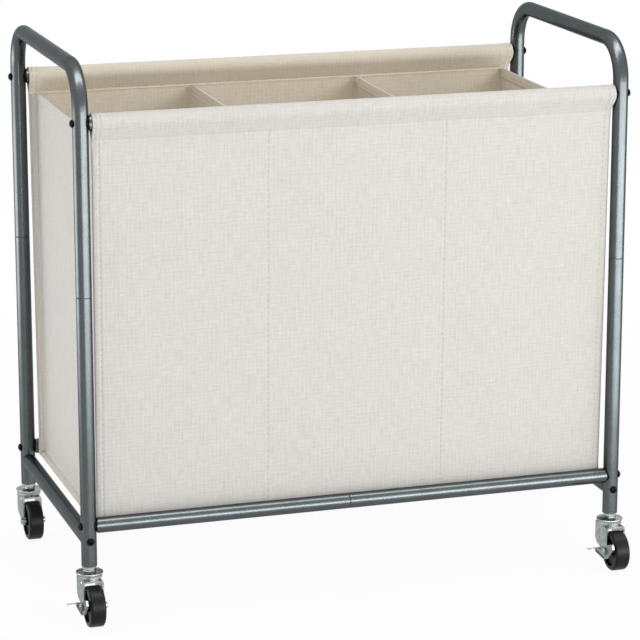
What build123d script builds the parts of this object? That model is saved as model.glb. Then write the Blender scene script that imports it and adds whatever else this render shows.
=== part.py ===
from build123d import *
import math
import os

# Laundry sorter on four casters. A steel tube frame carries a fabric bag with three compartments.
# Model frame: X across the width, Y towards the back, Z up. Millimetres.
# The origin lies on the floor, below the middle of the frame.

# ---- Frame tubes ----
TUBE_OD = 22.0
TUBE_WALL = 1.2
TUBE_EDGE_CHAMFER = 0.7
FRAME_WIDTH = 786.0
FRAME_DEPTH = 400.0
SWAGE_LENGTH = 26.0
SWAGE_CLEARANCE = 0.1
SWAGE_LEAD_CHAMFER = 0.5

# ---- Heights above the lower ends of the posts ----
SIDE_RAIL_RISE = 37.5
LONG_RAIL_RISE = 57.5
POST_JOINT_RISE = 385.0
TOP_ROD_RISE = 625.0
HANDLE_RISE = 697.0

# ---- Handles ----
HANDLE_BEND_RADIUS = 55.0
DIMPLE_RISE = 19.0
DIMPLE_RADIUS = 3.0
DIMPLE_DEPTH = 0.8

# ---- Bolted rail ends ----
SADDLE_OD = 19.0
SADDLE_THICKNESS = 1.5
BAR_MOUTH_RADIUS = 27.5
BOLT_DIAMETER = 6.0
BOLT_HOLE_CLEARANCE = 0.25
BOLT_HEAD_DIAMETER = 11.0
BOLT_HEAD_HEIGHT = 4.0
BOLT_HEAD_RIM = 1.2
BOLT_SOCKET_FLATS = 4.0
BOLT_SOCKET_DEPTH = 2.0
BOLT_END_CHAMFER = 0.8
PLUG_LENGTH = 18.0
PLUG_SETBACK = 3.0
PLUG_CLEARANCE = 0.05
THREAD_CLEARANCE = 0.05

# ---- Casters ----
WHEEL_DIAMETER = 58.0
WHEEL_WIDTH = 22.5
WHEEL_SHOULDER_RADIUS = 4.0
WHEEL_RIM_DEPTH = 7.0
WHEEL_WEB_WIDTH = 15.0
WHEEL_HUB_DIAMETER = 15.0
WHEEL_HUB_FLOAT = 0.4
WHEEL_TRAIL = 26.0
WHEEL_CROWN_CLEARANCE = 4.3
FORK_SHEET = 2.2
FORK_GAP = 24.5
FORK_BEND_RADIUS = 3.6
FORK_BACK_REACH = 18.0
FORK_FRONT_SETBACK = 1.0
FORK_HEEL_RISE = 4.0
FORK_HEEL_RADIUS = 11.0
FORK_BOSS_RADIUS = 7.0
FORK_RIB_WIDTH = 5.0
FORK_RIB_HEIGHT = 0.9
FORK_RIB_SETBACK = 15.0
FORK_RIB_DROP = 6.0
FORK_RIB_LENGTH = 14.0
RACE_DIAMETER = 38.5
RACE_STEP = 1.6
RACE_RIM_HEIGHT = 2.5
RACE_LOWER_HEIGHT = 0.8
RACE_EDGE_RADIUS = 0.9
RACE_CROWN_RISE = 1.8
RACE_CROWN_RADIUS = 10.5
RACE_CUP_FLOOR = 1.2
RACE_CUP_WALL = 1.6
RACE_CUP_GAP = 0.4
SWIVEL_GAP = 3.1
BALL_DIAMETER = 3.9
BALL_COUNT = 10
BALL_CIRCLE_DIAMETER = 26.0
BALL_CLEARANCE = 0.3
STEM_DIAMETER = 8.0
STEM_HEX_FLATS = 17.0
STEM_HEX_HEIGHT = 6.5
STEM_NUT_HEIGHT = 4.1
STEM_GROOVE_HEIGHT = 1.2
STEM_GROOVE_DEPTH = 1.0
STEM_END_SETBACK = 4.0
STEM_END_CHAMFER = 1.0
KINGPIN_HEAD_DIAMETER = 14.0
KINGPIN_HEAD_HEIGHT = 2.5
SOCKET_LENGTH = 26.0
SOCKET_CLEARANCE = 0.05
AXLE_DIAMETER = 6.0
AXLE_HEAD_DIAMETER = 10.5
AXLE_HEAD_HEIGHT = 4.0
AXLE_HEAD_ROUNDING = 2.8
AXLE_NUT_FLATS = 10.0
AXLE_NUT_HEIGHT = 3.6
AXLE_TIP = 0.8
RUNNING_CLEARANCE = 0.05
SIDE_CLEARANCE = 0.3

# ---- Brake levers of the front casters, from the axle, along and across the lever ----
BRAKE_SHEET = 1.5
BRAKE_TILT = 22.0
BRAKE_FRONT_REACH = 31.0
BRAKE_BACK_REACH = 36.0
BRAKE_TOP_RISE = 8.0
BRAKE_FRONT_HEIGHT = 8.5
BRAKE_BACK_HEIGHT = 5.5
BRAKE_TIP_DROP = 11.0
BRAKE_TIP_LENGTH = 16.0
BRAKE_CORNER_RADIUS = 2.6
BRAKE_RIM_DEPTH = 3.0
BRAKE_PEDAL_REACH = 14.5
BRAKE_PEDAL_LENGTH = 17.0
BRAKE_PEDAL_ROUNDING = 4.0

# ---- Fabric bag ----
FABRIC = 1.2
BAG_END_GAP = 14.5
BAG_FLANGE = 10.5
SLEEVE_CLEARANCE = 0.25
SLEEVE_SEAM_DROP = 24.0
BAG_RAIL_GAP = 0.5
BAG_FLOOR_DROP = 8.5
BAG_RIM_DROP = 24.0
DIVIDER_SPACING = 260.0
DIVIDER_RIM_DROP = 25.0
SEAM_GAP = 0.1

# ---- Sizes that follow from the ones above ----
TUBE_RADIUS = TUBE_OD / 2
BORE_RADIUS = TUBE_RADIUS - TUBE_WALL
POST_X = FRAME_WIDTH / 2
POST_Y = FRAME_DEPTH / 2
CORNERS = {
    "front_left": (-1, -1),
    "front_right": (1, -1),
    "back_left": (-1, 1),
    "back_right": (1, 1),
}
SIDES = {"left": -1, "right": 1}
ENDS = {"front": -1, "back": 1}

AXLE_HEIGHT = WHEEL_DIAMETER / 2
FORK_UNDERSIDE = WHEEL_DIAMETER + WHEEL_CROWN_CLEARANCE
FORK_TOP = FORK_UNDERSIDE + FORK_SHEET
CUP_FLOOR = FORK_TOP + RACE_CUP_FLOOR
RACE_UNDERSIDE = CUP_FLOOR + SWIVEL_GAP
RACE_STEP_HEIGHT = RACE_UNDERSIDE + RACE_LOWER_HEIGHT
RACE_TOP = RACE_STEP_HEIGHT + RACE_RIM_HEIGHT
RACE_CROWN_TOP = RACE_TOP + RACE_CROWN_RISE
POST_FOOT = RACE_CROWN_TOP + STEM_HEX_HEIGHT
FORK_HALF_WIDTH = FORK_GAP / 2 + FORK_SHEET

SIDE_RAIL_HEIGHT = POST_FOOT + SIDE_RAIL_RISE
LONG_RAIL_HEIGHT = POST_FOOT + LONG_RAIL_RISE
POST_JOINT_HEIGHT = POST_FOOT + POST_JOINT_RISE
TOP_ROD_HEIGHT = POST_FOOT + TOP_ROD_RISE
HANDLE_HEIGHT = POST_FOOT + HANDLE_RISE

BRAKE_INNER_X = -FORK_HALF_WIDTH - SIDE_CLEARANCE
BRAKED_NUT_X = BRAKE_INNER_X - BRAKE_SHEET - SIDE_CLEARANCE

BOLT_HOLE_RADIUS = BOLT_DIAMETER / 2 + BOLT_HOLE_CLEARANCE
BAR_SETBACK = TUBE_RADIUS + SADDLE_THICKNESS
RAIL_JOINT_X = -SWAGE_LENGTH / 2

LONG_PANEL_REACH = POST_X - BAG_END_GAP
END_PANEL_X = LONG_PANEL_REACH - BAG_FLANGE

BOTTOM_ALIGN = (Align.CENTER, Align.CENTER, Align.MIN)


# ---- Helpers ----
def save(name, shape):
    """Write one sub-part."""
    export_step(shape, os.path.join("parts", name + ".step"))


def revolved(points):
    """A solid of revolution about Z from an outline of (radius, height) points."""
    outline = Plane.XZ * make_face(Polyline(*points, close=True))
    return revolve(outline, axis=Axis.Z)


def upright_cylinder(radius, low, high, x=0.0, y=0.0):
    """A cylinder along Z between two heights."""
    return Pos(x, y, low) * Cylinder(radius, high - low, align=BOTTOM_ALIGN)


def cylinder_along_x(radius, start, end, y=0.0, z=0.0):
    """A cylinder along X between two positions."""
    return Pos(start, y, z) * Rot(0, 90, 0) * Cylinder(radius, end - start, align=BOTTOM_ALIGN)


def cylinder_along_y(radius, start, end, x=0.0, z=0.0):
    """A cylinder along Y between two positions."""
    return Pos(x, start, z) * Rot(-90, 0, 0) * Cylinder(radius, end - start, align=BOTTOM_ALIGN)


def block(low, high):
    """A box between its lowest and highest corners."""
    sizes = [top - bottom for bottom, top in zip(low, high)]
    middle = [(top + bottom) / 2 for bottom, top in zip(low, high)]
    return Pos(*middle) * Box(*sizes)


def extruded_along_x(outline, start, end):
    """A prism along X from an outline drawn in (y, z)."""
    return extrude(Plane(origin=(start, 0, 0), x_dir=(0, 1, 0), z_dir=(1, 0, 0)) * outline, end - start)


def tangent_point(point, centre, radius, side):
    """Where the line from a point touches a circle. side is +1 or -1 for the two tangents."""
    away_x = point[0] - centre[0]
    away_y = point[1] - centre[1]
    distance = math.hypot(away_x, away_y)
    angle = math.atan2(away_y, away_x) + side * math.acos(radius / distance)
    return (centre[0] + radius * math.cos(angle), centre[1] + radius * math.sin(angle))


# ---- Straight tubes ----
def plain_tube(length):
    """A tube along Z with a bevelled far end."""
    return revolved([
        (BORE_RADIUS, 0),
        (TUBE_RADIUS, 0),
        (TUBE_RADIUS, length - TUBE_EDGE_CHAMFER),
        (TUBE_RADIUS - TUBE_EDGE_CHAMFER, length),
        (BORE_RADIUS, length),
    ])


def necked_tube(length):
    """A tube along Z whose far end is necked down to slip inside the next tube."""
    neck = BORE_RADIUS - SWAGE_CLEARANCE
    tip = length + SWAGE_LENGTH
    return revolved([
        (BORE_RADIUS, 0),
        (TUBE_RADIUS, 0),
        (TUBE_RADIUS, length - TUBE_EDGE_CHAMFER),
        (TUBE_RADIUS - TUBE_EDGE_CHAMFER, length),
        (neck, length),
        (neck, tip - SWAGE_LEAD_CHAMFER),
        (neck - SWAGE_LEAD_CHAMFER, tip),
        (neck - TUBE_WALL, tip),
        (neck - TUBE_WALL, length - TUBE_WALL),
        (BORE_RADIUS, length - TUBE_WALL - SWAGE_CLEARANCE),
    ])


# ---- Uprights ----
def post(side, end):
    """A lower upright: open at the foot, necked at the top, drilled for the rails' bolts."""
    x = side * POST_X
    y = end * POST_Y
    body = Pos(x, y, POST_FOOT) * necked_tube(POST_JOINT_RISE)
    body -= cylinder_along_x(BOLT_HOLE_RADIUS, x - TUBE_OD, x + TUBE_OD, y, LONG_RAIL_HEIGHT)
    body -= cylinder_along_y(BOLT_HOLE_RADIUS, y - TUBE_OD, y + TUBE_OD, x, SIDE_RAIL_HEIGHT)
    return body


def handle(side):
    """An upper upright pair bent from one tube, with the hand bar across its top."""
    x = side * POST_X
    path = FilletPolyline(
        (x, -POST_Y, POST_JOINT_HEIGHT),
        (x, -POST_Y, HANDLE_HEIGHT),
        (x, POST_Y, HANDLE_HEIGHT),
        (x, POST_Y, POST_JOINT_HEIGHT),
        radius=HANDLE_BEND_RADIUS,
    )
    start = Plane(origin=(x, -POST_Y, POST_JOINT_HEIGHT), z_dir=(0, 0, 1))
    body = sweep(start * (Circle(TUBE_RADIUS) - Circle(BORE_RADIUS)), path=path)
    for end in ENDS.values():
        y = end * POST_Y
        body -= mouth_bevel(x, y)
        body -= cylinder_along_x(BOLT_HOLE_RADIUS, x - TUBE_OD, x + TUBE_OD, y, TOP_ROD_HEIGHT)
        body -= crimp_dimple(x, y, end)
    return body


def mouth_bevel(x, y):
    """The ring removed to bevel the lower mouth of a handle's leg."""
    outer = TUBE_RADIUS + TUBE_EDGE_CHAMFER
    ring = revolved([
        (TUBE_RADIUS - TUBE_EDGE_CHAMFER, 0),
        (outer, 0),
        (outer, TUBE_EDGE_CHAMFER),
        (TUBE_RADIUS, TUBE_EDGE_CHAMFER),
    ])
    return Pos(x, y, POST_JOINT_HEIGHT) * ring


def crimp_dimple(x, y, end):
    """The ball pressed into a leg above its joint, on the side that faces the other leg."""
    centre_y = y - end * (TUBE_RADIUS - DIMPLE_DEPTH + DIMPLE_RADIUS)
    return Pos(x, centre_y, POST_JOINT_HEIGHT + DIMPLE_RISE) * Sphere(DIMPLE_RADIUS)


# ---- Rails and rods ----
def side_rail(side):
    """A low rail from front to back, coped round both posts."""
    x = side * POST_X
    rail = cylinder_along_y(TUBE_RADIUS, -POST_Y, POST_Y, x, SIDE_RAIL_HEIGHT)
    rail -= cylinder_along_y(BORE_RADIUS, -POST_Y, POST_Y, x, SIDE_RAIL_HEIGHT)
    for end in ENDS.values():
        low = SIDE_RAIL_HEIGHT - TUBE_OD
        high = SIDE_RAIL_HEIGHT + TUBE_OD
        rail -= upright_cylinder(TUBE_RADIUS, low, high, x, end * POST_Y)
    return rail


def long_bar(side, end, height):
    """Half of a bar across the width, with a hollow mouth at its post. The left half is necked."""
    length = POST_X + side * -RAIL_JOINT_X
    tube = necked_tube(length) if side < 0 else plain_tube(length)
    bar = Pos(side * POST_X, end * POST_Y, height) * Rot(0, -side * 90, 0) * tube
    return bar - bar_mouth(side, end, height)


def bar_mouth(side, end, height):
    """The upright cylinder that hollows the end of a bar, from its saddle outwards."""
    x = side * (POST_X - BAR_SETBACK + BAR_MOUTH_RADIUS)
    return upright_cylinder(BAR_MOUTH_RADIUS, height - TUBE_OD, height + TUBE_OD, x, end * POST_Y)


def saddle(side, end, height):
    """The moulded spacer between a post and the end of a bar."""
    x = side * POST_X
    y = end * POST_Y
    inner_x = x - side * (BAR_SETBACK + SADDLE_THICKNESS)
    body = cylinder_along_x(SADDLE_OD / 2, min(x, inner_x), max(x, inner_x), y, height)
    body &= bar_mouth(side, end, height)
    body -= upright_cylinder(TUBE_RADIUS, height - SADDLE_OD, height + SADDLE_OD, x, y)
    body -= cylinder_along_x(BOLT_HOLE_RADIUS, min(x, inner_x), max(x, inner_x), y, height)
    return body


# ---- Bolts and the threaded plugs inside the rail ends ----
def plug():
    """A threaded plug along Z, as it sits inside a rail end."""
    outer = BORE_RADIUS - PLUG_CLEARANCE
    inner = BOLT_DIAMETER / 2 + THREAD_CLEARANCE
    return revolved([(inner, 0), (outer, 0), (outer, PLUG_LENGTH), (inner, PLUG_LENGTH)])


def bolt(spacer):
    """A domed bolt along Z, its seat at the origin and its shank down through post and plug."""
    shank_length = TUBE_OD + spacer + PLUG_SETBACK + PLUG_LENGTH
    radius = BOLT_DIAMETER / 2
    shank = revolved([
        (0, 0),
        (radius, 0),
        (radius, BOLT_END_CHAMFER - shank_length),
        (radius - BOLT_END_CHAMFER, -shank_length),
        (0, -shank_length),
    ])
    dome = BOLT_HEAD_HEIGHT - BOLT_HEAD_RIM
    rim_radius = BOLT_HEAD_DIAMETER / 2
    ball_radius = (rim_radius ** 2 + dome ** 2) / (2 * dome)
    head = upright_cylinder(rim_radius, 0, BOLT_HEAD_HEIGHT)
    head &= Pos(0, 0, BOLT_HEAD_HEIGHT - ball_radius) * Sphere(ball_radius)
    socket = RegularPolygon(BOLT_SOCKET_FLATS / 2, 6, major_radius=False)
    head -= extrude(Pos(0, 0, BOLT_HEAD_HEIGHT - BOLT_SOCKET_DEPTH) * socket, BOLT_SOCKET_DEPTH)
    return shank + head


def across(side):
    """Turns +Z to point outwards along X on the given side."""
    return Rot(0, side * 90, 0)


def along(end):
    """Turns +Z to point outwards along Y at the given end."""
    return Rot(-end * 90, 0, 0)


def corner_bolts(side, end):
    """The three bolts of a corner: top rod, bottom rail and side rail."""
    x = side * POST_X
    y = end * POST_Y
    outer_x = x + side * TUBE_RADIUS
    outer_y = y + end * TUBE_RADIUS
    return Compound(children=[
        Pos(outer_x, y, TOP_ROD_HEIGHT) * across(side) * bolt(SADDLE_THICKNESS),
        Pos(outer_x, y, LONG_RAIL_HEIGHT) * across(side) * bolt(SADDLE_THICKNESS),
        Pos(x, outer_y, SIDE_RAIL_HEIGHT) * along(end) * bolt(0.0),
    ])


def corner_plugs(side, end):
    """The three threaded plugs of a corner, each just inside the end of its tube."""
    x = side * POST_X
    y = end * POST_Y
    plug_x = x - side * (BAR_SETBACK + PLUG_SETBACK)
    plug_y = y - end * (TUBE_RADIUS + PLUG_SETBACK)
    return [
        Pos(plug_x, y, TOP_ROD_HEIGHT) * across(-side) * plug(),
        Pos(plug_x, y, LONG_RAIL_HEIGHT) * across(-side) * plug(),
        Pos(x, plug_y, SIDE_RAIL_HEIGHT) * along(-end) * plug(),
    ]


# ---- Casters, each drawn about its own swivel axis ----
def caster_socket():
    """The threaded plug pressed into the foot of a post."""
    inner = STEM_DIAMETER / 2 + THREAD_CLEARANCE
    outer = BORE_RADIUS - SOCKET_CLEARANCE
    top = POST_FOOT + SOCKET_LENGTH
    return revolved([(inner, POST_FOOT), (outer, POST_FOOT), (outer, top), (inner, top)])


def ball_groove(height, radius):
    """The ring cut by the swivel balls, at the given height of its middle."""
    return Pos(0, 0, height) * Torus(BALL_CIRCLE_DIAMETER / 2, radius)


def ball_height():
    """The height of the balls' centres: in the middle of the swivel gap."""
    return CUP_FLOOR + SWIVEL_GAP / 2


def caster_stem():
    """Threaded stem, hexagon, upper race and kingpin, all one forging and fixed to the post."""
    radius = STEM_DIAMETER / 2
    race_radius = RACE_DIAMETER / 2
    head_top = FORK_UNDERSIDE - SIDE_CLEARANCE
    stem_top = POST_FOOT + SOCKET_LENGTH - STEM_END_SETBACK
    race = upright_cylinder(race_radius, RACE_STEP_HEIGHT, RACE_TOP)
    race = fillet(race.edges().filter_by(GeomType.CIRCLE), RACE_EDGE_RADIUS)
    rim = race_radius - RACE_EDGE_RADIUS
    crown = revolved([(0, RACE_TOP), (rim, RACE_TOP), (RACE_CROWN_RADIUS, RACE_CROWN_TOP), (0, RACE_CROWN_TOP)])
    lower = upright_cylinder(race_radius - RACE_STEP, RACE_UNDERSIDE, RACE_STEP_HEIGHT + RACE_EDGE_RADIUS)
    lower -= ball_groove(ball_height(), BALL_DIAMETER / 2)
    flats = RegularPolygon(STEM_HEX_FLATS / 2, 6, major_radius=False)
    hexagon = extrude(Pos(0, 0, RACE_CROWN_TOP) * flats, STEM_HEX_HEIGHT) - stem_groove()
    shaft = upright_cylinder(radius, head_top, stem_top)
    shaft = chamfer(shaft.edges().filter_by(GeomType.CIRCLE).sort_by(Axis.Z)[-1], STEM_END_CHAMFER)
    head = upright_cylinder(KINGPIN_HEAD_DIAMETER / 2, head_top - KINGPIN_HEAD_HEIGHT, head_top)
    return race + crown + lower + hexagon + shaft + head


def stem_groove():
    """The ring cut round the hexagon, between the nut under the post and the race's collar."""
    high = POST_FOOT - STEM_NUT_HEIGHT
    low = high - STEM_GROOVE_HEIGHT
    ring = upright_cylinder(STEM_HEX_FLATS, low, high)
    return ring - upright_cylinder(STEM_HEX_FLATS / 2 - STEM_GROOVE_DEPTH, low, high)


def swivel_balls():
    """The balls between the race and the fork."""
    return [
        PolarLocations(BALL_CIRCLE_DIAMETER / 2, BALL_COUNT).locations[i]
        * Pos(0, 0, ball_height())
        * Sphere(BALL_DIAMETER / 2 - RUNNING_CLEARANCE)
        for i in range(BALL_COUNT)
    ]


def fork_outline():
    """The side view of a fork in (y, z): a broad cheek that tapers to the axle boss."""
    boss = (-WHEEL_TRAIL, AXLE_HEIGHT)
    heel = (FORK_BACK_REACH, AXLE_HEIGHT + FORK_HEEL_RISE)
    front = FORK_FRONT_SETBACK - WHEEL_TRAIL
    cheek = make_face(Polyline(
        (front, FORK_TOP),
        (FORK_BACK_REACH, FORK_TOP),
        heel,
        tangent_point(heel, boss, FORK_BOSS_RADIUS, -1),
        boss,
        (front, AXLE_HEIGHT),
        close=True,
    ))
    corner = cheek.vertices().sort_by_distance((heel[0], heel[1], 0))[0]
    cheek = fillet(corner, FORK_HEEL_RADIUS)
    return cheek + Pos(*boss) * Circle(FORK_BOSS_RADIUS)


def rounded_along_y(body, radius):
    """The body with its two top edges along Y rounded."""
    edges = body.edges().filter_by(Axis.Y).group_by(Axis.Z)[-1]
    return fillet(edges, radius)


def fork_rib(side):
    """A pressed stiffening rib on the outside of a cheek, behind its front edge."""
    radius = (FORK_RIB_WIDTH**2 / 4 + FORK_RIB_HEIGHT**2) / (2 * FORK_RIB_HEIGHT)
    x = side * (FORK_HALF_WIDTH + FORK_RIB_HEIGHT - radius)
    y = FORK_FRONT_SETBACK - WHEEL_TRAIL + FORK_RIB_SETBACK
    high = FORK_TOP - FORK_RIB_DROP
    low = high - FORK_RIB_LENGTH
    rib = upright_cylinder(radius, low, high, x, y)
    rib += Pos(x, y, low) * Sphere(radius)
    rib += Pos(x, y, high) * Sphere(radius)
    inner = side * (FORK_HALF_WIDTH - FORK_SHEET / 2)
    outer = side * (FORK_HALF_WIDTH + FORK_SHEET)
    keep = block((min(inner, outer), y - radius, 0), (max(inner, outer), y + radius, RACE_TOP))
    return rib & keep


def race_cup():
    """The lower race on the fork's crown: a shallow cup that holds the balls."""
    radius = RACE_DIAMETER / 2 - RACE_STEP
    cup = upright_cylinder(radius, FORK_TOP, RACE_UNDERSIDE - RACE_CUP_GAP)
    return cup - upright_cylinder(radius - RACE_CUP_WALL, CUP_FLOOR, RACE_UNDERSIDE)


def caster_fork():
    """The pressed fork: two cheeks bent down from a crown that turns on the kingpin."""
    body = rounded_along_y(
        extruded_along_x(fork_outline(), -FORK_HALF_WIDTH, FORK_HALF_WIDTH),
        FORK_BEND_RADIUS,
    )
    reach = WHEEL_TRAIL + WHEEL_DIAMETER
    mouth = block((-FORK_GAP / 2, -reach, 0), (FORK_GAP / 2, reach, FORK_UNDERSIDE))
    body -= rounded_along_y(mouth, FORK_BEND_RADIUS - FORK_SHEET)
    body += fork_rib(-1)
    body += fork_rib(1)
    body += race_cup()
    body -= upright_cylinder(STEM_DIAMETER / 2 + RUNNING_CLEARANCE, AXLE_HEIGHT, RACE_TOP)
    body -= ball_groove(ball_height(), BALL_DIAMETER / 2 + BALL_CLEARANCE)
    hole = AXLE_DIAMETER / 2 + RUNNING_CLEARANCE
    body -= cylinder_along_x(hole, -WHEEL_DIAMETER, WHEEL_DIAMETER, -WHEEL_TRAIL, AXLE_HEIGHT)
    return body


def caster_wheel():
    """A solid wheel with rounded shoulders, a dished web and a hub that runs on the axle."""
    rim = WHEEL_DIAMETER / 2
    half = WHEEL_WIDTH / 2
    web = WHEEL_WEB_WIDTH / 2
    hub = WHEEL_HUB_DIAMETER / 2
    hub_half = FORK_GAP / 2 - WHEEL_HUB_FLOAT
    bore = AXLE_DIAMETER / 2 + RUNNING_CLEARANCE
    inner_rim = rim - WHEEL_RIM_DEPTH
    outline = make_face(Polyline(
        (bore, -hub_half), (hub, -hub_half), (hub, -web), (inner_rim, -web),
        (inner_rim, -half), (rim, -half), (rim, half), (inner_rim, half),
        (inner_rim, web), (hub, web), (hub, hub_half), (bore, hub_half),
        close=True,
    ))
    shoulders = outline.vertices().group_by(Axis.X)[-1]
    outline = fillet(shoulders, WHEEL_SHOULDER_RADIUS)
    wheel = revolve(Plane.XZ * outline, axis=Axis.Z)
    return Pos(0, -WHEEL_TRAIL, AXLE_HEIGHT) * Rot(0, 90, 0) * wheel


def caster_axle(braked):
    """The axle bolt: a domed head on the right, and a nut on the left, outside any lever."""
    seat = BRAKED_NUT_X if braked else -FORK_HALF_WIDTH
    radius = AXLE_HEAD_DIAMETER / 2
    head = cylinder_along_x(radius, FORK_HALF_WIDTH, FORK_HALF_WIDTH + AXLE_HEAD_HEIGHT)
    rim = head.edges().filter_by(GeomType.CIRCLE).sort_by(Axis.X)[-1]
    head = fillet(rim, AXLE_HEAD_ROUNDING)
    shaft = cylinder_along_x(AXLE_DIAMETER / 2, seat - AXLE_NUT_HEIGHT - AXLE_TIP, FORK_HALF_WIDTH)
    hexagon = RegularPolygon(AXLE_NUT_FLATS / 2, 6, major_radius=False)
    nut = Pos(seat, 0, 0) * Rot(0, -90, 0) * extrude(hexagon, AXLE_NUT_HEIGHT)
    return Pos(0, -WHEEL_TRAIL, AXLE_HEIGHT) * (head + shaft + nut)


def brake_outline():
    """The lever's side view in (y, z), level and about the axle: a long shallow shield."""
    top = BRAKE_TOP_RISE
    half_tip = BRAKE_TIP_LENGTH / 2
    shield = make_face(Polyline(
        (-BRAKE_FRONT_REACH, top),
        (BRAKE_BACK_REACH, top),
        (BRAKE_BACK_REACH, top - BRAKE_BACK_HEIGHT),
        (half_tip, -BRAKE_TIP_DROP),
        (-half_tip, -BRAKE_TIP_DROP),
        (-BRAKE_FRONT_REACH, top - BRAKE_FRONT_HEIGHT),
        close=True,
    ))
    return fillet(shield.vertices(), BRAKE_CORNER_RADIUS)


def brake_pedal():
    """The tongue bent out from the back of the lever's top rim."""
    outer = -BRAKE_RIM_DEPTH - BRAKE_PEDAL_REACH
    back = BRAKE_BACK_REACH - BRAKE_CORNER_RADIUS
    low = BRAKE_TOP_RISE - BRAKE_SHEET
    tongue = block((outer, back - BRAKE_PEDAL_LENGTH, low), (-BRAKE_SHEET, back, BRAKE_TOP_RISE))
    corners = tongue.edges().filter_by(Axis.Z).group_by(Axis.X)[0]
    return fillet(corners, BRAKE_PEDAL_ROUNDING)


def brake_lever():
    """A pressed lever that turns on the axle, its rim and its pedal bent outwards."""
    outline = brake_outline()
    lever = extruded_along_x(outline, -BRAKE_RIM_DEPTH, 0)
    lever -= extruded_along_x(offset(outline, -BRAKE_SHEET), -BRAKE_RIM_DEPTH, -BRAKE_SHEET)
    lever += brake_pedal()
    lever -= cylinder_along_x(AXLE_DIAMETER / 2 + RUNNING_CLEARANCE, -BRAKE_SHEET, 0)
    place = Pos(BRAKE_INNER_X, -WHEEL_TRAIL, AXLE_HEIGHT)
    return place * Rot(-BRAKE_TILT, 0, 0) * lever


# ---- Bag ----
def panel_outer_y(height):
    """How far out the front or back panel lies: under its rod at the rim, inside the rail below."""
    rim = TOP_ROD_HEIGHT - SLEEVE_SEAM_DROP
    rail_y = POST_Y - TUBE_RADIUS - BAG_RAIL_GAP
    share = (height - LONG_RAIL_HEIGHT) / (rim - LONG_RAIL_HEIGHT)
    return rail_y + share * (POST_Y + FABRIC / 2 - rail_y)


def bag_floor_height():
    """The underside of the bag."""
    return LONG_RAIL_HEIGHT - BAG_FLOOR_DROP


def rod_sleeve(end):
    """The sewn tube of fabric that a top rod passes through, drawn in to its seam below."""
    inner = TUBE_RADIUS + SLEEVE_CLEARANCE
    outer = inner + FABRIC
    drop = -SLEEVE_SEAM_DROP
    skin = drop_shape(outer, FABRIC, drop) - drop_shape(inner, FABRIC / 2, drop + FABRIC)
    full = extruded_along_x(skin, -LONG_PANEL_REACH, LONG_PANEL_REACH)
    return Pos(0, end * POST_Y, TOP_ROD_HEIGHT) * full


def drop_shape(radius, foot, drop):
    """A circle drawn down to a narrow foot by two tangent lines."""
    right = tangent_point((foot, drop), (0, 0), radius, 1)
    left = tangent_point((-foot, drop), (0, 0), radius, -1)
    skirt = make_face(Polyline((0, 0), right, (foot, drop), (-foot, drop), left, close=True))
    return skirt + Circle(radius)


def long_panel(end):
    """The front or back panel with its flanges, from the sleeve's seam to the bag's floor."""
    top = TOP_ROD_HEIGHT - SLEEVE_SEAM_DROP
    low = bag_floor_height()
    outline = make_face(Polyline(
        (end * panel_outer_y(low), low),
        (end * panel_outer_y(top), top),
        (end * (panel_outer_y(top) - FABRIC), top),
        (end * (panel_outer_y(low) - FABRIC), low),
        close=True,
    ))
    return extruded_along_x(outline, -LONG_PANEL_REACH, LONG_PANEL_REACH)


def cross_panel(x, low, top):
    """A panel across the depth between the front and back panels, centred on x."""
    inset = FABRIC + SEAM_GAP
    low_y = panel_outer_y(low) - inset
    top_y = panel_outer_y(top) - inset
    outline = make_face(Polyline((-low_y, low), (low_y, low), (top_y, top), (-top_y, top), close=True))
    return extruded_along_x(outline, x - FABRIC / 2, x + FABRIC / 2)


def bag_floor():
    """The floor of the bag, between the long panels and as long as they are."""
    low = bag_floor_height()
    y = panel_outer_y(low) - FABRIC - SEAM_GAP
    return block((-LONG_PANEL_REACH, -y, low), (LONG_PANEL_REACH, y, low + FABRIC))


# ---- Build ----
def build_frame():
    plugs = []
    for side_name, side in SIDES.items():
        save("handle_" + side_name, handle(side))
        save("side_rail_" + side_name, side_rail(side))
        for end_name, end in ENDS.items():
            save(f"{end_name}_top_rod_{side_name}", long_bar(side, end, TOP_ROD_HEIGHT))
            save(f"{end_name}_bottom_rail_{side_name}", long_bar(side, end, LONG_RAIL_HEIGHT))
    for name, (side, end) in CORNERS.items():
        save("post_" + name, post(side, end))
        saddles = [saddle(side, end, TOP_ROD_HEIGHT), saddle(side, end, LONG_RAIL_HEIGHT)]
        save("saddles_" + name, Compound(children=saddles))
        save("bolts_" + name, corner_bolts(side, end))
        plugs += corner_plugs(side, end)
    save("rail_end_plugs", Compound(children=plugs))


def build_casters():
    balls = []
    for name, (side, end) in CORNERS.items():
        place = Pos(side * POST_X, end * POST_Y, 0)
        braked = end < 0
        save("caster_socket_" + name, place * caster_socket())
        save("caster_stem_" + name, place * caster_stem())
        save("caster_fork_" + name, place * caster_fork())
        save("caster_wheel_" + name, place * caster_wheel())
        save("caster_axle_" + name, place * caster_axle(braked))
        if braked:
            save("brake_lever_" + name, place * brake_lever())
        balls += [place * ball for ball in swivel_balls()]
    save("swivel_balls", Compound(children=balls))


def build_bag():
    foot = bag_floor_height() + FABRIC + SEAM_GAP
    rim = TOP_ROD_HEIGHT - BAG_RIM_DROP
    divider_rim = TOP_ROD_HEIGHT - DIVIDER_RIM_DROP
    side_x = END_PANEL_X - FABRIC / 2
    for end_name, end in ENDS.items():
        save(f"bag_{end_name}_sleeve", rod_sleeve(end))
        save(f"bag_{end_name}_panel", long_panel(end))
    for side_name, side in SIDES.items():
        save(f"bag_{side_name}_side", cross_panel(side * side_x, foot, rim))
        divider_x = side * DIVIDER_SPACING / 2
        save(f"bag_divider_{side_name}", cross_panel(divider_x, foot, divider_rim))
    save("bag_floor", bag_floor())


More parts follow.
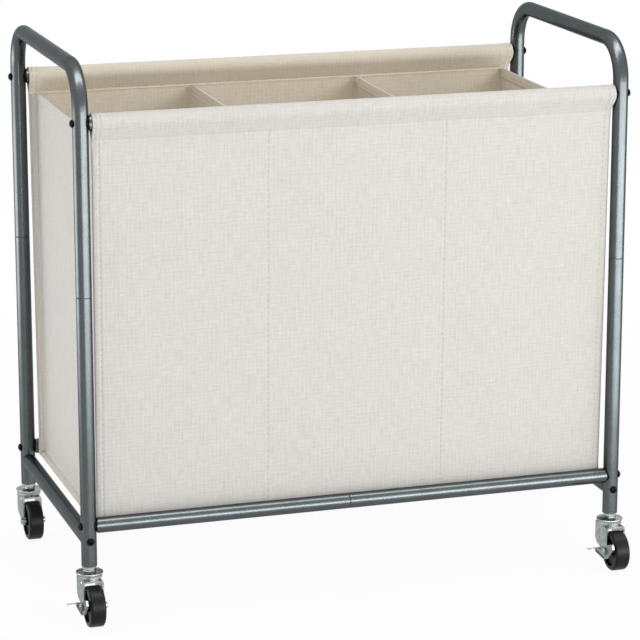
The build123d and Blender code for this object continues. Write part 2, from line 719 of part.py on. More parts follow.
os.makedirs("parts", exist_ok=True)
build_frame()
build_casters()
build_bag()
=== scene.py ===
"""Looks of the laundry sorter on wheels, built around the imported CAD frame."""

import math

import bpy
import numpy as np
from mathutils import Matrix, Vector


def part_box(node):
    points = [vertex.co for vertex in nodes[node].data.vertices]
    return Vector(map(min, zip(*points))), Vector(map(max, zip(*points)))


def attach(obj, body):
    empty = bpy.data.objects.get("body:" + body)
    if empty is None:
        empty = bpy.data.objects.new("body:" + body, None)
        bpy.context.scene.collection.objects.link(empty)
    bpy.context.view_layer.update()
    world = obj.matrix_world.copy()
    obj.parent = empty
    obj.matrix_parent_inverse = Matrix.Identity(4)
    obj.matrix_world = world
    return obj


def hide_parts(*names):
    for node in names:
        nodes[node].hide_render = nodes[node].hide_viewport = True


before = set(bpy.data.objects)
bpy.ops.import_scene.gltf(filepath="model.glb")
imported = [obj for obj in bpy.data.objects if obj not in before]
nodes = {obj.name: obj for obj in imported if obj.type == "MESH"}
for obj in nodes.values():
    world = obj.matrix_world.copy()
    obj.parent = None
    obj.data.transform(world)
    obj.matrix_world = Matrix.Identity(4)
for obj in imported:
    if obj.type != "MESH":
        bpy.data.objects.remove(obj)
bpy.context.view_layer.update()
MM = 0.001


# ---- Node materials ----
class Shader:
    """A node material around one Principled BSDF."""

    def __init__(self, name, **settings):
        self.material = bpy.data.materials.new(name)
        self.material.use_nodes = True
        self.tree = self.material.node_tree
        self.tree.nodes.clear()
        output = self.tree.nodes.new("ShaderNodeOutputMaterial")
        self.bsdf = self.tree.nodes.new("ShaderNodeBsdfPrincipled")
        self.tree.links.new(self.bsdf.outputs[0], output.inputs[0])
        for key, value in settings.items():
            self.bsdf.inputs[key.replace("_", " ")].default_value = value

    def node(self, kind, **options):
        made = self.tree.nodes.new("ShaderNode" + kind)
        for key, value in options.items():
            setattr(made, key, value)
        return made

    def feed(self, socket, value):
        """Sets a socket, or links another node's output to it."""
        if isinstance(value, bpy.types.NodeSocket):
            self.tree.links.new(value, socket)
        else:
            socket.default_value = value

    def math(self, operation, *values, clamp=False):
        made = self.node("Math", operation=operation, use_clamp=clamp)
        for socket, value in zip(made.inputs, values):
            self.feed(socket, value)
        return made.outputs[0]

    def object_place(self, scale=(1.0, 1.0, 1.0)):
        """Object coordinates in metres, stretched by a scale."""
        mapping = self.node("Mapping")
        coordinates = self.node("TexCoord")
        self.tree.links.new(coordinates.outputs["Object"], mapping.inputs["Vector"])
        mapping.inputs["Scale"].default_value = scale
        return mapping.outputs[0]

    def noise(self, place, scale, detail=2.0, rough=0.5):
        made = self.node("TexNoise")
        self.feed(made.inputs["Vector"], place)
        made.inputs["Scale"].default_value = scale
        made.inputs["Detail"].default_value = detail
        made.inputs["Roughness"].default_value = rough
        return made.outputs[0]

    def remap(self, value, low, high, to_low, to_high):
        made = self.node("MapRange")
        for socket, given in zip(made.inputs, (value, low, high, to_low, to_high)):
            self.feed(socket, given)
        return made.outputs[0]

    def tones(self, factor, dark, light):
        """A colour between two, by a factor."""
        made = self.node("Mix", data_type="RGBA")
        self.feed(made.inputs[0], factor)
        made.inputs[6].default_value = (*dark, 1.0)
        made.inputs[7].default_value = (*light, 1.0)
        return made.outputs[2]

    def between(self, factor, first, second):
        """The colour of one socket or another, by a factor."""
        made = self.node("Mix", data_type="RGBA")
        for socket, given in zip((made.inputs[0], made.inputs[6], made.inputs[7]), (factor, first, second)):
            self.feed(socket, given)
        return made.outputs[2]

    def use(self, name, value):
        self.feed(self.bsdf.inputs[name], value)

    def bump(self, height, distance, strength=1.0):
        made = self.node("Bump")
        made.inputs["Strength"].default_value = strength
        made.inputs["Distance"].default_value = distance
        self.feed(made.inputs["Height"], height)
        self.tree.links.new(made.outputs[0], self.bsdf.inputs["Normal"])


def plain_metal(name, dark, light, roughness, grain, blotch=35.0, **settings):
    shader = Shader(name, Metallic=1.0, **settings)
    place = shader.object_place()
    patches = shader.remap(shader.noise(place, blotch, 3.0), 0.3, 0.7, 0.0, 1.0)
    fine = shader.noise(place, grain, 2.0)
    shader.use("Base Color", shader.tones(patches, dark, light))
    shader.use("Roughness", shader.remap(fine, 0.3, 0.7, roughness - 0.05, roughness + 0.06))
    shader.bump(fine, 0.00003, 0.6)
    return shader.material


tube_paint = plain_metal("tube_paint", (0.087, 0.098, 0.101), (0.101, 0.114, 0.118), 0.3, 900.0,
                         Specular_Tint=(0.5, 0.52, 0.53, 1.0))
zinc = plain_metal("zinc", (0.28, 0.303, 0.297), (0.47, 0.50, 0.49), 0.24, 600.0, 130.0,
                   Specular_Tint=(0.6, 0.62, 0.62, 1.0))
# The brake lever's zinc is a copy with its light tone painted darker, as painted shade that tones down the
# lamps' reflection on it.
shaded_lever_zinc = plain_metal("shaded_lever_zinc", (0.28, 0.305, 0.30), (0.42, 0.45, 0.445), 0.36, 600.0, 130.0,
                         Specular_Tint=(0.5, 0.52, 0.52, 1.0))
steel = plain_metal("steel", (0.55, 0.56, 0.56), (0.66, 0.67, 0.67), 0.2, 600.0)


def black(name, tone, roughness, grain, **settings):
    shader = Shader(name, Metallic=0.0, **settings)
    place = shader.object_place()
    patches = shader.noise(place, 60.0, 3.0)
    fine = shader.noise(place, grain, 2.0)
    lighter = tuple(1.6 * c for c in tone)
    shader.use("Base Color", shader.tones(patches, tone, lighter))
    shader.use("Roughness", shader.remap(fine, 0.3, 0.7, roughness - 0.06, roughness + 0.08))
    shader.bump(fine, 0.00004, 0.5)
    return shader.material


black_plastic = black("black_plastic", (0.002, 0.0021, 0.0022), 0.5, 900.0, Specular_IOR_Level=0.06)
black_oxide = black("black_oxide", (0.002, 0.002, 0.0021), 0.45, 900.0, Specular_IOR_Level=0.08)
wheel_black = black("wheel_black", (0.005, 0.005, 0.0053), 0.42, 700.0, Specular_IOR_Level=0.16)

FINISHES = [
    ("handle", tube_paint), ("side_rail", tube_paint), ("front_", tube_paint), ("back_", tube_paint),
    ("post_", tube_paint), ("saddles", black_plastic), ("bolts", black_oxide),
    ("rail_end_plugs", black_plastic),
    ("caster_wheel", wheel_black), ("caster", zinc), ("brake_lever", shaded_lever_zinc), ("swivel_balls", steel),
]
for name, thing in nodes.items():
    for start, material in FINISHES:
        if name.startswith(start):
            thing.data.materials.clear()
            thing.data.materials.append(material)
            break


# ---- Cloth materials ----
def cotton(name, outer, inner):
    """Linen-look cloth: threads, slubs both ways and a faint coarse check, in the cloth's own flat lengths.
    outer and inner are pairs of a dark and a light tone; inner is painted light, a warmer tone standing in
    for the glow of light through the cloth and the shade inside the bag. A point attribute for the faces
    inside the bag runs between them."""
    shader = Shader(name, Roughness=0.88, Sheen_Weight=0.1, Sheen_Roughness=0.5, Specular_IOR_Level=0.25)
    flat = shader.node("Attribute", attribute_name="cloth").outputs["Vector"]
    split = shader.node("SeparateXYZ")
    shader.feed(split.inputs[0], flat)
    across, along, sewn = split.outputs

    def stretched(scale_u, scale_v):
        mapping = shader.node("Mapping")
        shader.feed(mapping.inputs["Vector"], flat)
        mapping.inputs["Scale"].default_value = (scale_u, scale_v, 0.0)
        return mapping.outputs[0]

    def wave(value, pitch):
        return shader.math("SINE", shader.math("MULTIPLY", value, 2 * math.pi / pitch))

    weft = shader.noise(stretched(60.0, 560.0), 1.0, 1.5)
    warp = shader.noise(stretched(560.0, 42.0), 1.0, 1.5)
    patches = shader.noise(flat, 14.0, 2.0)
    check = shader.math("ADD", wave(across, 0.006), wave(along, 0.006))
    tone = shader.math("ADD", weft, warp)
    tone = shader.math("ADD", tone, shader.math("MULTIPLY", check, 0.05))
    tone = shader.math("ADD", tone, shader.math("MULTIPLY", patches, 0.2))
    share = shader.remap(tone, 0.72, 1.48, 0.0, 1.0)
    # Faces inside the bag blend to the painted warm inside tone.
    painted_inside_tone = shader.node("Attribute", attribute_name="painted_inside_tone").outputs["Fac"]
    shader.use("Base Color", shader.between(painted_inside_tone, shader.tones(share, *outer), shader.tones(share, *inner)))
    weave = shader.math("MULTIPLY", wave(across, 0.0022), wave(along, 0.0022))
    height = shader.math("ADD", shader.math("MULTIPLY", weave, 0.5), shader.math("MULTIPLY", tone, 1.2))
    shader.bump(height, 0.00012, 0.6)
    return shader.material


OUTER = ((0.65, 0.627, 0.588), (0.78, 0.753, 0.706))
# The inner tones are painted light: a warmer tone for the faces inside the bag, standing in for the warm glow
# of light through the cloth and the shade in there.
INNER_PAINTED_GLOW = ((0.70, 0.63, 0.52), (0.83, 0.755, 0.635))
cloth_outer = cotton("cloth_outer", OUTER, INNER_PAINTED_GLOW)
cloth_inner_painted_glow = cotton("cloth_inner_painted_glow", INNER_PAINTED_GLOW, INNER_PAINTED_GLOW)


def thread(name, dark, light):
    shader = Shader(name, Roughness=0.7, Sheen_Weight=0.2)
    place = shader.object_place()
    twist = shader.noise(place, 900.0, 2.0)
    shader.use("Base Color", shader.tones(twist, dark, light))
    shader.bump(twist, 0.00005, 0.6)
    return shader.material


column_thread = thread("column_thread", (0.44, 0.405, 0.35), (0.57, 0.53, 0.47))
row_thread = thread("row_thread", (0.60, 0.57, 0.52), (0.71, 0.68, 0.63))


# ---- The bag's cloth: lengths here are in millimetres ----
def span(name):
    """A CAD node's lowest and highest corners in millimetres."""
    low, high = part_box(name)
    return np.array(low) / MM, np.array(high) / MM


panel_low, panel_high = span("bag_front_panel")
sleeve_high = span("bag_front_sleeve")[1]
floor_low, floor_high = span("bag_floor")
end_low, end_high = span("bag_left_side")
divider_low, divider_high = span("bag_divider_right")
rod_low, rod_high = span("front_top_rod_left")

CLOTH = floor_high[2] - floor_low[2]
PLY = CLOTH + 0.05
REACH = panel_high[0]
SEAM_Z = panel_high[2]
FLOOR_Z = (floor_low[2] + floor_high[2]) / 2
WALL_TOP = -panel_low[1] - CLOTH / 2
WALL_LOW = -panel_high[1] + CLOTH / 2
ROD_Z = (rod_low[2] + rod_high[2]) / 2
ROD_Y = -(rod_low[1] + rod_high[1]) / 2
SLEEVE_R = sleeve_high[2] - ROD_Z - CLOTH / 2
END_X = -end_low[0] - CLOTH / 2
END_TOP = end_high[2]
DIVIDER_X = (divider_low[0] + divider_high[0]) / 2
DIVIDER_TOP = divider_high[2]

LAP = 8.0
CORNER_R = 4.0
TAIL = 3.0
STITCH_X = REACH - 10.0
MOUTH_X = REACH - 4.0
STITCH_PITCH = 8.4
STITCH_LENGTH = 5.4
PUCKER = 2 * STITCH_PITCH
HEM = 13.0
FOLD_R = 0.8
TURN_R = 2.0
FLANGE = 5.8
EDGE_TURN = 2.0
EDGE_R = 1.5
MOUTH = 3.0


def ease(x, low, high):
    """0 below low, 1 above high, smooth between."""
    t = np.clip((x - low) / (high - low), 0, 1)
    return t * t * (3 - 2 * t)


def ridge(gap, height, width):
    return height * np.exp(-((gap / width) ** 2))


def swell(u, v, seed, size):
    """A smooth, repeatable undulation, about -1 to 1, in waves about size long."""
    draw = np.random.default_rng(seed)
    total = 0.0
    for k in range(7):
        turn, phase = draw.uniform(0, math.pi), draw.uniform(0, 2 * math.pi)
        pace = 2 * math.pi * (0.6 + 0.25 * k) / size
        wave = np.sin(pace * (u * math.cos(turn) + v * math.sin(turn)) + phase)
        total = total + wave / (1 + 0.5 * k)
    return total / 3


def wall(z):
    """How far the long panels lie from the middle plane at a height."""
    return WALL_LOW + (WALL_TOP - WALL_LOW) * (z - panel_low[2]) / (SEAM_Z - panel_low[2])


def long_section():
    """The long cloth in section: its lap under the floor, the wall, round the rod and back down."""
    centre_y, centre_z = wall(FLOOR_Z + CORNER_R) - CORNER_R, FLOOR_Z + CORNER_R
    path = [(centre_y - LAP, FLOOR_Z)]
    for a in np.radians(np.linspace(-90, 0, 9)):
        path.append((centre_y + CORNER_R * math.cos(a), centre_z + CORNER_R * math.sin(a)))
    marks = {"corner": 1, "wall": len(path) - 1}
    path.append((wall(SEAM_Z - 1.5), SEAM_Z - 1.5))
    foot, drop = CLOTH / 2, ROD_Z - SEAM_Z
    path.append((ROD_Y + foot, SEAM_Z))
    marks["seam"] = len(path) - 1
    lean = math.acos(SLEEVE_R / math.hypot(foot, drop)) - math.atan2(foot, drop)
    for a in np.linspace(lean - math.pi / 2, 3 * math.pi / 2 - lean, 29):
        path.append((ROD_Y + SLEEVE_R * math.cos(a), ROD_Z + SLEEVE_R * math.sin(a)))
    marks["top"] = len(path) - 15
    path.append((ROD_Y - foot, SEAM_Z))
    marks["back_seam"] = len(path) - 1
    path.append((wall(SEAM_Z - TAIL) - PLY, SEAM_Z - TAIL))
    path = np.array(path)
    along = np.concatenate([[0], np.cumsum(np.linalg.norm(np.diff(path, axis=0), axis=1))])
    return path, along, {name: along[i] for name, i in marks.items()}


SECTION, ALONG, MARK = long_section()


def flange_turn(s):
    """How much the long cloth's flanges turn away: all the way on the walls, not at foot or sleeve."""
    return ease(s, MARK["wall"], MARK["wall"] + 30) * (1 - ease(s, MARK["seam"] - 26, MARK["seam"] - 3))


def edge_turn(u, share):
    """How far a long cloth's edge falls short and back where it turns over the flange behind it."""
    past = np.maximum(np.abs(u) - (REACH - EDGE_TURN), 0)
    angle = np.maximum(past / EDGE_R * share, 1e-6)
    return past * (1 - np.sin(angle) / angle), past * (1 - np.cos(angle)) / angle


def section_at(s):
    return np.interp(s, ALONG, SECTION[:, 0]), np.interp(s, ALONG, SECTION[:, 1])


COLUMNS = [
    (DIVIDER_X, 0.0, MARK["seam"] + 1),
    (STITCH_X, 0.0, MARK["back_seam"]),
    (MOUTH_X, MARK["seam"] + 4, MARK["back_seam"] - 4),
]


def long_cloth(side):
    def surface(u, s):
        y, z = section_at(s)
        y_on, z_on = section_at(np.minimum(s + 1, ALONG[-1]))
        y_off, z_off = section_at(np.maximum(s - 1, 0))
        length = np.hypot(y_on - y_off, z_on - z_off)
        out_y, out_z = (z_on - z_off) / length, -(y_on - y_off) / length

        foot, seam, back_seam = MARK["wall"], MARK["seam"], MARK["back_seam"]
        free = ease(s, foot + 25, foot + 120) * (1 - ease(s, seam - 40, seam - 8))
        ends = 1 - ease(np.abs(u), REACH - 60, REACH - 12)
        sleeve = ease(s, seam + 4, seam + 14) * (1 - ease(s, back_seam - 12, back_seam - 3))
        bay = np.where(np.abs(u) < DIVIDER_X, np.cos(math.pi * u / (2 * DIVIDER_X)),
                       np.sin(math.pi * (np.clip(np.abs(u), 0, END_X) - DIVIDER_X) / (END_X - DIVIDER_X)))
        d = free * ends * (0.8 * swell(u, s, 11 + side, 210) + 0.3 * swell(u, s, 22 + side, 75))
        d = d + free * bay * 0.8
        ripple = np.sin(2 * math.pi * u / 31 + 2 * swell(u, 0 * s, 33 + side, 160))
        d = d + 0.2 * ripple * np.exp(-np.abs(MARK["seam"] - s) / 28) * (s < MARK["back_seam"])
        d = d + sleeve * (0.1 + 0.14 * swell(u, s, 44 + side, 60))

        sewn = np.zeros_like(u)
        beat_s = 0.5 * np.cos(2 * math.pi * s / PUCKER)
        for x0, low, top in COLUMNS:
            gap = np.abs(u) - x0
            here = ((s > low) & (s < top)) * 1.0
            d = d + here * (ridge(gap, -0.55, 1.1) + ridge(np.abs(gap) - 3.6, 0.28, 2.2) * (1 + beat_s))
            sewn = np.maximum(sewn, here * ridge(gap, 1, 0.9))
        beat_u = 0.18 * np.cos(2 * math.pi * u / PUCKER)
        for s0 in (MARK["seam"], MARK["back_seam"]):
            gap = s - s0
            d = d + ridge(gap, -0.3, 1.2) + ridge(np.abs(gap) - 4, 1, 2.6) * beat_u
            sewn = np.maximum(sewn, ridge(gap, 1, 0.9))

        short, back = edge_turn(u, flange_turn(s))
        mouth = ease(s, seam + 6, seam + 20) * (1 - ease(s, back_seam - 20, back_seam - 6))
        x = u - np.sign(u) * short + MOUTH * mouth * ease(u, REACH - 40, REACH)
        d = d - back + 0.35 * sleeve * np.exp(-(REACH - np.abs(u)) / 3)
        # From the sleeve's crest on, the outer face turns into the bag and gets the painted warm inside tone.
        painted_inside_tone = ease(s, MARK["top"] - 3, MARK["top"] + 9)
        return x, side * (y + d * out_y), z + d * out_z, sewn, painted_inside_tone

    return surface


def turned(past):
    """Past a flat panel's edge: along it and out of it, round a small corner into its flange."""
    angle = np.clip(past / TURN_R, 0, math.pi / 2)
    out = TURN_R * (1 - np.cos(angle)) + np.maximum(past - TURN_R * math.pi / 2, 0)
    return np.where(past < 0, past, TURN_R * np.sin(angle)), out


def folded(s, top):
    """Up a panel and over its top hem: how far in and how high."""
    angle = np.clip((s - top) / FOLD_R, 0, math.pi)
    down = np.maximum(s - top - FOLD_R * math.pi, 0)
    return FOLD_R * (1 - np.cos(angle)), np.where(s < top, s, top + FOLD_R * np.sin(angle) - down)


def hem_line(s, top, u):
    """The relief round a hem's stitches, and how near they are, on both plies."""
    level = np.where(s < top, s, 2 * top + FOLD_R * math.pi - s)
    gap = level - (top - HEM + 3)
    beat = 0.6 * np.cos(2 * math.pi * u / PUCKER)
    relief = ridge(gap, -0.4, 1.0) + ridge(np.abs(gap) - 3.2, 0.22, 2.2) * (1 + beat)
    return np.where(s < top, relief, -relief), ridge(gap, 1, 0.9)


FOOT_Z = FLOOR_Z + PLY
CROSS_HALF = WALL_TOP - PLY - TURN_R
END_HEIGHT = END_TOP - FOLD_R - CLOTH / 2 - FOOT_Z
DIVIDER_HEIGHT = DIVIDER_TOP - FOLD_R - CLOTH / 2 - FOOT_Z


def cross_cloth(x0, height, way, seed, sag, footed):
    """A panel across the bag. Its flanges turn towards way on x, and its hem folds the other way.
    The painted warm inside tone leaves out the crest of the hem, which stays lighter as a painted highlight,
    and the outer face of a footed panel."""

    def surface(u, s):
        past = np.abs(u) - CROSS_HALF
        along, out = turned(past)
        inward, high = folded(s, height)
        z = FOOT_Z + high
        if footed:
            along_foot, out_foot = turned(-s)
            z = FOOT_Z + TURN_R + np.where(s > 0, high * (height - TURN_R) / height, -along_foot)
            out = np.maximum(out, out_foot)
        inner = PLY + PLY * ease(z, SEAM_Z - TAIL - 6, SEAM_Z - TAIL - 2)
        edge = wall(z) - inner - TURN_R
        share = np.clip(np.abs(u) / CROSS_HALF, 0, 1)
        up = np.clip(s / height, 0, 1)
        z = z - sag * (1 - share**2) * ease(s, height * 0.4, height)
        free = (1 - ease(np.abs(u), CROSS_HALF - 45, CROSS_HALF - 5)) * ease(s, 5, 70)
        bow = free * (1 - 0.5 * ease(s, height - 60, height))
        bow = bow * (1 + 0.9 * swell(u, s, seed, 190) + 0.35 * swell(u, s, seed + 1, 65))
        relief, sewn = hem_line(s, height, u)
        flat = (past < -3) * 1.0
        x = x0 + way * (out - inward - bow + flat * relief)
        y = np.where(past < 0, share * edge, edge + along)
        # The hem's crest keeps the lighter outer tone as a painted highlight.
        crest_highlight = ease(s, height - 1, height) * (1 - ease(s, height + 2, height + 3.5))
        painted_inside_tone = ease(s, height + 2, height + 3.5) if footed else 1 - crest_highlight
        return x, np.sign(u) * y, z, flat * sewn, painted_inside_tone

    return surface


def floor_cloth(u, s):
    """The bag's floor: u along x, s along y."""
    bay = np.where(np.abs(u) < DIVIDER_X, np.cos(math.pi * u / (2 * DIVIDER_X)),
                   np.sin(math.pi * (np.clip(np.abs(u), DIVIDER_X, END_X) - DIVIDER_X) / (END_X - DIVIDER_X)))
    inside = np.clip(1 - (s / FLOOR_HALF) ** 2, 0, 1)
    z = FLOOR_Z + PLY / 2 - bay * inside * (1.8 + 0.5 * swell(u, s, 77, 150))
    z = z + 0.5 * ridge(np.abs(u) - END_X, 1, 5) * swell(u, s, 78, 30)
    return u, s, z, np.zeros_like(u), np.zeros_like(u)


FLOOR_HALF = wall(FLOOR_Z + CORNER_R) - CORNER_R


def rows(low, high, coarse, fine=()):
    """Grid lines from low to high, closer in each zone of (middle, reach, step)."""
    edges = {low, high}
    for middle, reach, _ in fine:
        edges |= {min(max(middle - reach, low), high), min(max(middle + reach, low), high)}
    edges = sorted(edges)
    lines = [low]
    for a, b in zip(edges, edges[1:]):
        steps = [small for middle, reach, small in fine if abs((a + b) / 2 - middle) < reach]
        count = max(1, math.ceil((b - a) / min([coarse] + steps) - 1e-6))
        lines += list(a + (b - a) * np.arange(1, count + 1) / count)
    return np.array(lines)


def piece_of(name, points, faces, materials):
    """A mesh piece of the bag from points in millimetres."""
    mesh = bpy.data.meshes.new(name)
    mesh.from_pydata((points * MM).tolist(), [], faces if isinstance(faces, list) else faces.tolist())
    mesh.shade_smooth()
    for material in materials:
        mesh.materials.append(material)
    thing = bpy.data.objects.new(name, mesh)
    bpy.context.scene.collection.objects.link(thing)
    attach(thing, "frame")
    return thing


def cloth_piece(name, us, ss, surface, outside=1, keep=None):
    """A sheet of cloth over a grid of flat positions, with its thickness. outside is the side of u × s
    that is the bag's outside, or 0 where both sides are inside."""
    u, s = np.meshgrid(us, ss, indexing="ij")
    x, y, z, sewn, painted_inside_tone = surface(u, s)
    index = np.arange(u.size).reshape(u.shape)
    quads = np.stack([index[:-1, :-1], index[1:, :-1], index[1:, 1:], index[:-1, 1:]], -1)
    if keep is not None:
        quads = quads[keep((u[:-1, :-1] + u[1:, 1:]) / 2, (s[:-1, :-1] + s[1:, 1:]) / 2)]
    quads = quads.reshape(-1, 4)[:, ::-1 if outside < 0 else 1]
    used, quads = np.unique(quads, return_inverse=True)
    points = np.stack([x, y, z], -1).reshape(-1, 3)[used]
    # The inner side takes the painted warm inside tone.
    sides = [cloth_outer, cloth_outer] if outside == 0 else [cloth_outer, cloth_inner_painted_glow]
    thing = piece_of(name, points, quads.reshape(-1, 4), sides)
    flat = np.stack([u * MM, s * MM, sewn], -1).reshape(-1, 3)[used]
    layer = thing.data.attributes.new("cloth", "FLOAT_VECTOR", "POINT")
    layer.data.foreach_set("vector", flat.astype(np.float32).ravel())
    # How far each point takes the painted warm inside tone.
    layer = thing.data.attributes.new("painted_inside_tone", "FLOAT", "POINT")
    layer.data.foreach_set("value", painted_inside_tone.reshape(-1)[used].astype(np.float32))
    thickness = thing.modifiers.new("thickness", "SOLIDIFY")
    thickness.thickness = (CLOTH - 0.1) * MM
    thickness.offset = 0.0
    thickness.material_offset = 1
    return thing


def stitch_rows(name, surface, lines, lift):
    """Thread along lines over a cloth: each line is (u0, s0, u1, s1), and lift is how far off its middle."""
    rings, sides = 5, 6
    points, faces = [], []
    t = np.linspace(-0.5, 0.5, rings)
    dip = 1 - (2 * t) ** 4 * 1.6
    girth = np.array([0.16, 0.33, 0.36, 0.33, 0.16])
    turn = 2 * math.pi * np.arange(sides) / sides
    for u0, s0, u1, s1 in lines:
        length = math.hypot(u1 - u0, s1 - s0)
        count = int(length / STITCH_PITCH)
        middle = (np.arange(count) + 0.5) / count
        way_u, way_s = (u1 - u0) / length, (s1 - s0) / length
        u = u0 + (u1 - u0) * middle[:, None] + way_u * STITCH_LENGTH * t
        s = s0 + (s1 - s0) * middle[:, None] + way_s * STITCH_LENGTH * t
        here = np.stack(surface(u, s)[:3], -1)
        ahead = np.stack(surface(u + way_u * 0.3, s + way_s * 0.3)[:3], -1) - here
        aside = np.stack(surface(u - way_s * 0.3, s + way_u * 0.3)[:3], -1) - here
        ahead /= np.linalg.norm(ahead, axis=-1, keepdims=True)
        up = np.cross(ahead, aside)
        up /= np.linalg.norm(up, axis=-1, keepdims=True)
        aside = np.cross(up, ahead)
        middle_line = here + up * (lift + math.copysign(0.22, lift) * dip[None, :, None])
        ring = middle_line[:, :, None] + girth[None, :, None, None] * (
            aside[:, :, None] * np.cos(turn)[None, None, :, None] * 1.15
            + up[:, :, None] * np.sin(turn)[None, None, :, None] * 0.8)
        first = sum(len(p) for p in points)
        points.append(ring.reshape(-1, 3))
        for k in range(count):
            base = first + k * rings * sides
            for i in range(rings - 1):
                for j in range(sides):
                    a, b = base + i * sides + j, base + i * sides + (j + 1) % sides
                    faces.append((a, b, b + sides, a + sides))
            faces.append(tuple(base + j for j in reversed(range(sides))))
            faces.append(tuple(base + (rings - 1) * sides + j for j in range(sides)))
    return points, faces


def sew(name, surface, lines, lifts, material):
    """The stitches of a cloth as one piece, on each side that lifts names."""
    points, faces = [], []
    for lift in lifts:
        more, shapes = stitch_rows(name, surface, lines, lift)
        first = sum(len(p) for p in points)
        points += more
        faces += [tuple(first + i for i in face) for face in shapes]
    return piece_of(name, np.concatenate(points), faces, [material])


# ---- The bag's pieces ----
HALF_TURN = TURN_R * math.pi / 2
CROSS_END = CROSS_HALF + HALF_TURN + FLANGE
SLEEVE_MID = (MARK["seam"] + MARK["back_seam"]) / 2
FACE = (CLOTH - 0.1) / 2

sewn_us = [(side * x, 7.5, 1.2) for side in (-1, 1) for x in (DIVIDER_X, STITCH_X)]
long_us = rows(-REACH, REACH, 4.2, sewn_us)
long_ss = rows(0.0, ALONG[-1], 4.2, [
    ((MARK["corner"] + MARK["wall"]) / 2, 4.5, 0.8), (MARK["seam"], 7.5, 1.2),
    (SLEEVE_MID, SLEEVE_MID - MARK["seam"], 2.4), (MARK["back_seam"], 3, 1.0),
])
for name, side in (("front", -1), ("back", 1)):
    shape = long_cloth(side)
    piece = cloth_piece("bag_" + name, long_us, long_ss, shape, -side)
    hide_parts(f"bag_{name}_sleeve", f"bag_{name}_panel")
    row = [(-STITCH_X + 4, MARK["seam"], STITCH_X - 4, MARK["seam"])]
    lines = []
    for x in (-STITCH_X, STITCH_X):
        lines.append((x, MARK["wall"] + 6, x, MARK["seam"] - 3))
        lines.append((x, MARK["seam"] + 4, x, MARK["back_seam"] - 4))
    for x in (-MOUTH_X, MOUTH_X):
        lines.append((x, MARK["seam"] + 6, x, MARK["back_seam"] - 6))
    for x in (-DIVIDER_X, DIVIDER_X):
        lines.append((x, MARK["wall"] + 6, x, MARK["seam"] - 3))
    stitches = sew(f"bag_{name}_stitches", shape, lines, [-side * FACE], column_thread)
    seam = sew(f"bag_{name}_seam", shape, row, [-side * FACE], row_thread)

CROSSINGS = [
    ("bag_left_side", -END_X, END_HEIGHT, -1, 1.5, True), ("bag_right_side", END_X, END_HEIGHT, 1, 1.5, True),
    ("bag_divider_left", -DIVIDER_X, DIVIDER_HEIGHT, -1, 2.2, False),
    ("bag_divider_right", DIVIDER_X, DIVIDER_HEIGHT, 1, 2.2, False),
]
for k, (node, x0, height, way, sag, footed) in enumerate(CROSSINGS):
    shape = cross_cloth(x0, height, way, 100 + 10 * k, sag, footed)
    foot = -(HALF_TURN + FLANGE) if footed else 0.0
    top = height + FOLD_R * math.pi + HEM
    hem_s = height - HEM + 3
    inner_s = 2 * height + FOLD_R * math.pi - hem_s
    us = rows(-CROSS_END, CROSS_END, 4.2, [(side * (CROSS_HALF + 1.5), 4, 0.8) for side in (-1, 1)])
    ss = rows(foot, top, 4.2, [(-1.5, 4, 0.8), (hem_s, 6, 1.2), (height + 1.2, 2.4, 0.4), (inner_s, 4, 1.2)])
    piece = cloth_piece(node + "_cloth", us, ss, shape, way if footed else 0,
                        lambda u, s: (np.abs(u) < CROSS_HALF) | ((s > 0) & (s < height - 2)))
    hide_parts(node)
    lines = [(4 - CROSS_HALF, row, CROSS_HALF - 4, row) for row in (hem_s, inner_s)]
    if footed:
        lines.append((6 - CROSS_HALF, foot + 4, CROSS_HALF - 6, foot + 4))
    stitches = sew(node + "_stitches", shape, lines, [way * FACE], row_thread)

floor_us = rows(-REACH, REACH, 5.0, [(side * END_X, 8, 2.0) for side in (-1, 1)])
piece = cloth_piece("bag_floor_cloth", floor_us, rows(-FLOOR_HALF, FLOOR_HALF, 5.0), floor_cloth, -1)
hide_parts("bag_floor")


# ---- Camera, lamps, floor ----
camera = bpy.data.objects.new("camera", bpy.data.cameras.new("camera"))
bpy.context.scene.collection.objects.link(camera)
camera.location = (-1.2497, -3.9379, 1.4088)
camera.rotation_euler = (math.radians(90 - 14.32), 0.0, math.radians(-17.72))
camera.data.sensor_width = 36.0
camera.data.lens = 162.6
bpy.context.scene.camera = camera

CENTRE = Vector((0.0, 0.0, 0.4))
FRONT = Vector((0.1, -0.2, 0.252))
LEFT = Vector((-0.39, 0.0, 0.252))
AMBIENT = 0.84
FLOOR_REACH = 12.0
FLOOR_GAP = 0.0005
FLOOR_TONE = 0.9
FADE_FROM, FADE_TO = 0.5, 2.2
GLOW_NEAR, GLOW_FAR = 0.94, 1.0


def softbox(name, azimuth, elevation, distance, width, height, watts, aim=CENTRE):
    """A rectangular lamp that looks at the object. Azimuth 0 is in front, 90 to the right."""
    light = bpy.data.lights.new(name, "AREA")
    light.shape = "RECTANGLE"
    light.size = width
    light.size_y = height
    light.energy = watts
    lamp = bpy.data.objects.new(name, light)
    bpy.context.scene.collection.objects.link(lamp)
    a, e = math.radians(azimuth), math.radians(elevation)
    away = Vector((math.sin(a) * math.cos(e), -math.cos(a) * math.cos(e), math.sin(e)))
    lamp.location = aim + away * distance
    lamp.rotation_euler = (-away).to_track_quat("-Z", "Y").to_euler()
    lamp.visible_camera = False
    return lamp


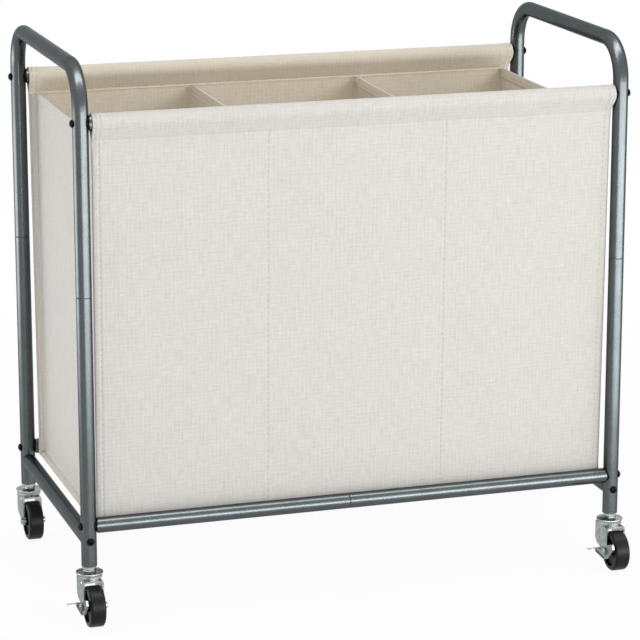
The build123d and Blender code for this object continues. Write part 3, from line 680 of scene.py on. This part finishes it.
softbox("key", 34, 22, 4.0, 1.5, 1.4, 38).visible_glossy = False
softbox("side", -117, 0, 1.3, 0.9, 0.5, 1.8, aim=LEFT).visible_glossy = False
softbox("rim", -110, 0, 1.3, 1.2, 0.5, 11, aim=LEFT).visible_diffuse = False
softbox("strip", 26, 2, 1.5, 3.2, 0.45, 38, aim=FRONT).visible_diffuse = False
softbox("low", 26, -10, 0.9, 2.2, 0.14, 5, aim=FRONT).visible_diffuse = False
softbox("top", 10, 74, 1.7, 2.4, 0.6, 36).visible_diffuse = False

world = bpy.data.worlds.new("studio")
bpy.context.scene.world = world
world.use_nodes = True


def seen_ray(tree):
    """1 for camera, glossy and transmission rays, else 0."""
    path = tree.nodes.new("ShaderNodeLightPath")
    total = path.outputs["Is Camera Ray"]
    for other in ("Is Glossy Ray", "Is Transmission Ray"):
        most = tree.nodes.new("ShaderNodeMath")
        most.operation = "MAXIMUM"
        tree.links.new(total, most.inputs[0])
        tree.links.new(path.outputs[other], most.inputs[1])
        total = most.outputs[0]
    return total


tree = world.node_tree
tree.nodes.clear()
plain = tree.nodes.new("ShaderNodeBackground")
plain.inputs["Strength"].default_value = AMBIENT
white = tree.nodes.new("ShaderNodeBackground")
for background in (plain, white):
    background.inputs["Color"].default_value = (1.0, 1.0, 1.0, 1.0)
white.inputs["Strength"].default_value = 1.0
mix = tree.nodes.new("ShaderNodeMixShader")
tree.links.new(seen_ray(tree), mix.inputs[0])
tree.links.new(plain.outputs[0], mix.inputs[1])
tree.links.new(white.outputs[0], mix.inputs[2])
output = tree.nodes.new("ShaderNodeOutputWorld")
tree.links.new(mix.outputs[0], output.inputs[0])

mesh = bpy.data.meshes.new("floor")
corners = [(x * FLOOR_REACH, y * FLOOR_REACH, 0) for x, y in ((-1, -1), (1, -1), (1, 1), (-1, 1))]
mesh.from_pydata(corners, [], [(0, 1, 2, 3)])
floor = bpy.data.objects.new("floor", mesh)
bpy.context.scene.collection.objects.link(floor)
floor.location.z = -FLOOR_GAP
material = bpy.data.materials.new("floor_white")
material.use_nodes = True
tree = material.node_tree
tree.nodes.clear()
lit = tree.nodes.new("ShaderNodeBsdfDiffuse")
lit.inputs["Color"].default_value = (FLOOR_TONE, FLOOR_TONE, FLOOR_TONE, 1.0)
glow = tree.nodes.new("ShaderNodeEmission")
glow.inputs["Color"].default_value = (1.0, 1.0, 1.0, 1.0)
place = tree.nodes.new("ShaderNodeTexCoord")
far = tree.nodes.new("ShaderNodeVectorMath")
far.operation = "LENGTH"
tree.links.new(place.outputs["Object"], far.inputs[0])
fade = tree.nodes.new("ShaderNodeMapRange")
tree.links.new(far.outputs["Value"], fade.inputs[0])
for socket, value in zip(fade.inputs[1:5], (FADE_FROM, FADE_TO, GLOW_NEAR, GLOW_FAR)):
    socket.default_value = value
share = tree.nodes.new("ShaderNodeMath")
share.operation = "MULTIPLY"
tree.links.new(fade.outputs[0], share.inputs[0])
tree.links.new(seen_ray(tree), share.inputs[1])
mix = tree.nodes.new("ShaderNodeMixShader")
tree.links.new(share.outputs[0], mix.inputs[0])
tree.links.new(lit.outputs[0], mix.inputs[1])
tree.links.new(glow.outputs[0], mix.inputs[2])
output = tree.nodes.new("ShaderNodeOutputMaterial")
tree.links.new(mix.outputs[0], output.inputs[0])
mesh.materials.append(material)

bpy.context.scene.view_settings.view_transform = "Standard"
